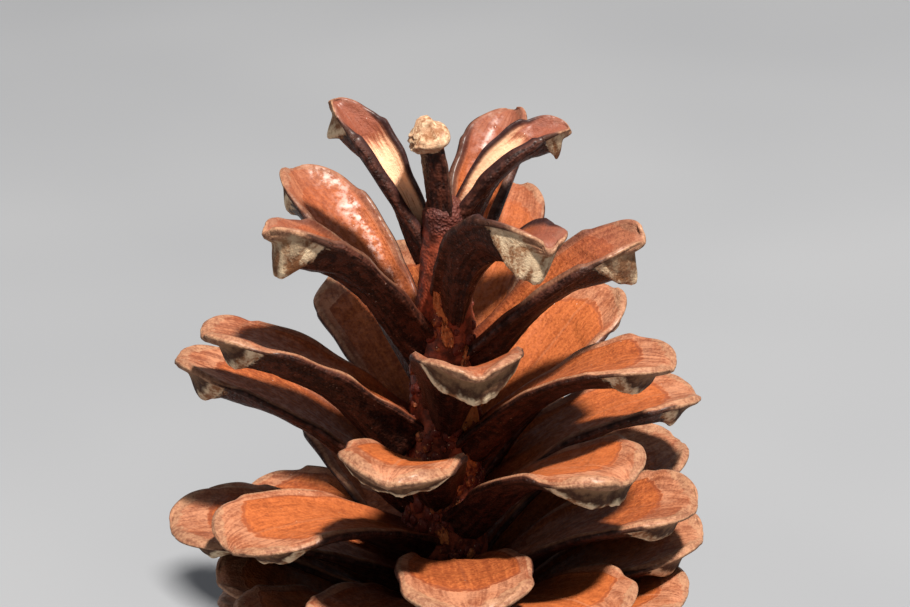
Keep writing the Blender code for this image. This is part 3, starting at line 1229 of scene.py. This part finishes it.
@dataclass(frozen=True)
class TornWood:
    """Splinters and warts where scales tore the core as the cone opened.

    Each splinter is given by its azimuth and height on the stem, its length and width, and how pale
    it is from 0 to 1. The warts are strewn up the core, most of them where it is torn: wart_rows is
    the lowest, highest and likeliest height, and wart_turn the middle azimuth and its spread.
    """

    stem: Stem
    splinters: tuple[tuple[float, float, float, float, float], ...] = (
        (318.0, 32.6, 4.4, 2.0, 1.0),
        (312.0, 28.4, 2.6, 1.4, 0.6),
        (292.0, 24.0, 2.4, 1.2, 0.7),
        (268.0, 22.2, 2.0, 1.0, 0.6),
        (262.0, 43.0, 4.2, 1.2, 1.0),
        (275.0, 40.4, 2.2, 1.0, 0.8),
        (305.0, 37.0, 3.6, 0.8, 0.7),
        (240.0, 36.0, 3.2, 1.0, 0.3),
        (90.0, 40.0, 3.4, 1.2, 0.6),
        (140.0, 33.0, 3.0, 1.3, 0.5),
        (20.0, 30.0, 3.0, 1.2, 0.6),
    )
    thickness: float = 0.45
    most_lean: float = 14.0
    wart_count: int = 280
    wart_rows: tuple[float, float, float] = (16.0, 46.0, 27.0)
    wart_turn: tuple[float, float] = (285.0, 80.0)
    wart_size: tuple[float, float] = (0.2, 0.5)
    seed: int = 5

    def build(self) -> Object:
        """Builds the splinters and the warts as one piece.

        Returns:
            The piece.
        """
        draw = random.Random(self.seed)
        splinter = self._splinter()
        wart = self._wart()
        made = []
        for azimuth, height, length, width, pale in self.splinters:
            size = Vector((self.thickness, width, length))
            lean = draw.uniform(-self.most_lean, self.most_lean)
            made.append(self._place(splinter, azimuth, height, size, lean, pale))
        for _ in range(self.wart_count):
            wide = draw.uniform(*self.wart_size)
            size = Vector((wide * 0.7, wide, wide * draw.uniform(0.9, 1.7)))
            height = draw.triangular(*self.wart_rows)
            azimuth = draw.gauss(*self.wart_turn)
            made.append(self._place(wart, azimuth, height, size, 0.0, draw.uniform(-0.4, 0.6)))
        for start in (splinter, wart):
            bpy.data.objects.remove(start)
        return joined(made, "torn_wood", TornFinish().material())

    def _splinter(self) -> Object:
        """Shapes a flat sliver, 1 wide, 1 long and 1 thick, that narrows to a ragged tip.

        Returns:
            The sliver.
        """
        bpy.ops.mesh.primitive_cube_add(size=1.0, location=(0.0, 0.0, 0.0))
        made = bpy.context.active_object
        bpy.ops.object.mode_set(mode="EDIT")
        bpy.ops.mesh.select_all(action="SELECT")
        bpy.ops.mesh.subdivide(number_cuts=9)
        bpy.ops.object.mode_set(mode="OBJECT")
        for vertex in made.data.vertices:
            along = vertex.co.z + 0.5
            ragged = 0.25 * noise.noise(Vector((vertex.co.y * 7.0, 3.0, 0.0)))
            vertex.co.y *= 0.25 + 0.75 * math.sin(math.pi * min(1.0, 0.2 + 0.85 * along))
            belly = math.sqrt(max(0.0, 1.0 - (1.8 * vertex.co.y) ** 2))
            vertex.co.x *= belly * (1.1 - 0.5 * abs(along - 0.4))
            vertex.co.z += ragged * abs(vertex.co.z) * 2.0
            vertex.co.x += 0.7 * noise.noise(Vector((vertex.co.y * 6.0, vertex.co.z * 4.0, 1.0)))
        return made

    def _wart(self) -> Object:
        """Shapes a lump of 1 in size with a rough skin.

        Returns:
            The lump.
        """
        bpy.ops.mesh.primitive_ico_sphere_add(subdivisions=2, radius=1.0, location=(0.0, 0.0, 0.0))
        made = bpy.context.active_object
        for vertex in made.data.vertices:
            vertex.co *= 1.0 + 0.35 * noise.noise(vertex.co * 1.4) + 0.15 * noise.noise(vertex.co * 3.5)
        return made

    def _place(
        self, start: Object, azimuth: float, height: float, size: Vector, lean: float, pale: float
    ) -> Object:
        """Lays one copy flat on the stem.

        Args:
            start: What is copied.
            azimuth: Its azimuth in degrees.
            height: Its height on the stem.
            size: How thick, wide and long it is.
            lean: How far it leans from upright, in degrees.
            pale: How pale its wood is.

        Returns:
            The copy.
        """
        made = added(start.name, start.data.copy())
        turn = Matrix.Rotation(math.radians(azimuth), 4, "Z")
        outward = turn @ Vector((self.stem.radius(height), 0.0, 0.0))
        move = Matrix.Translation((outward + Vector((0.0, 0.0, height))) * MM)
        turn = turn @ Matrix.Rotation(math.radians(lean), 4, "X")
        made.data.transform(move @ turn @ Matrix.Diagonal((size * MM).to_4d()))
        label(made.data, GOLD, [pale] * len(made.data.vertices))
        made.data.shade_smooth()
        return made


@dataclass(frozen=True)
class PhotoCamera:
    """The camera at the photograph's place, for a frame of 910 by 607 pixels."""

    frame_width: float = 910.0
    frame_height: float = 607.0
    axis_pixel: tuple[float, float] = (444.0, 400.0)
    axis_height: float = 33.15
    pixel: float = 0.085
    distance: float = 255.0
    elevation: float = 25.9
    sensor: float = 36.0
    clip_start: float = 0.01

    def build(self) -> None:
        """Adds the camera."""
        rise = math.radians(self.elevation)
        seen = Vector((0.0, 0.0, self.axis_height))
        back = Vector((0.0, -math.cos(rise), math.sin(rise)))
        up = Vector((0.0, math.sin(rise), math.cos(rise)))
        right = Vector((1.0, 0.0, 0.0))
        aside = (self.frame_width / 2.0 - self.axis_pixel[0]) * self.pixel
        above = (self.axis_pixel[1] - self.frame_height / 2.0) * self.pixel
        aim = seen + right * aside + up * above
        data = bpy.data.cameras.new("photo_camera")
        camera = added("photo_camera", data)
        point_at(camera, (seen + back * self.distance) * MM, aim * MM)
        data.lens = self.sensor * self.distance / (self.frame_width * self.pixel)
        data.sensor_width = self.sensor
        data.clip_start = self.clip_start
        bpy.context.scene.camera = camera


@dataclass(frozen=True)
class Lamp:
    """A square lamp that faces the cone. Lengths are in metres."""

    name: str
    start: tuple[float, float, float]
    power: float
    size: float
    colour: tuple[float, float, float]
    aim: tuple[float, float, float] = (0.0, 0.0, 0.035)

    def build(self) -> None:
        """Adds the lamp."""
        data = bpy.data.lights.new(self.name, "AREA")
        data.energy = self.power
        data.size = self.size
        data.color = self.colour
        point_at(added(self.name, data), Vector(self.start), Vector(self.aim))


@dataclass(frozen=True)
class Studio:
    """A pale floor and soft light, with the key where the photograph's sun stands."""

    view: str = "Standard"
    floor_size: float = 6.0
    floor_colour: Colour = tone(118, 121, 126)
    white: Colour = (1.0, 1.0, 1.0, 1.0)
    lamps: tuple[Lamp, ...] = (
        Lamp("key", (0.18, -0.27, 0.80), 20.0, 0.06, (1.0, 0.95, 0.88)),
        Lamp("fill", (-0.60, -0.50, 0.35), 0.6, 0.6, (0.9, 0.95, 1.0)),
    )
    sky: Colour = (0.88, 0.88, 0.90, 1.0)
    sky_strength: float = 0.33

    def build(self) -> None:
        """Adds the floor, the lamps and the sky."""
        bpy.ops.mesh.primitive_plane_add(size=self.floor_size, location=(0.0, 0.0, 0.0))
        floor = bpy.context.active_object
        floor.name = "floor"
        shade = Shade("pale_floor")
        cloud = shade.noise(shade.place(), 0.01)
        paler = shade.mix(cloud * 0.1, self.floor_colour, self.white)
        floor.data.materials.append(shade.finish(paler, 0.8, cloud, 0.01))
        for lamp in self.lamps:
            lamp.build()
        world = bpy.data.worlds.new("studio")
        world.use_nodes = True
        world.node_tree.nodes["Background"].inputs["Color"].default_value = self.sky
        world.node_tree.nodes["Background"].inputs["Strength"].default_value = self.sky_strength
        bpy.context.scene.world = world
        bpy.context.scene.view_settings.view_transform = self.view


def main() -> None:
    """Builds the cone's pieces in order, then the stage."""
    logging.basicConfig(level=logging.INFO, format="%(name)s: %(message)s")
    spiral = Spiral()
    pieces = [*Scales(spiral).build(), StemPiece(spiral.stem).build(), TornWood(spiral.stem).build()]
    for piece in pieces:
        LOG.info("%s has %d faces", piece.name, len(piece.data.polygons))
    PhotoCamera().build()
    Studio().build()


if __name__ == "__main__":
    main()
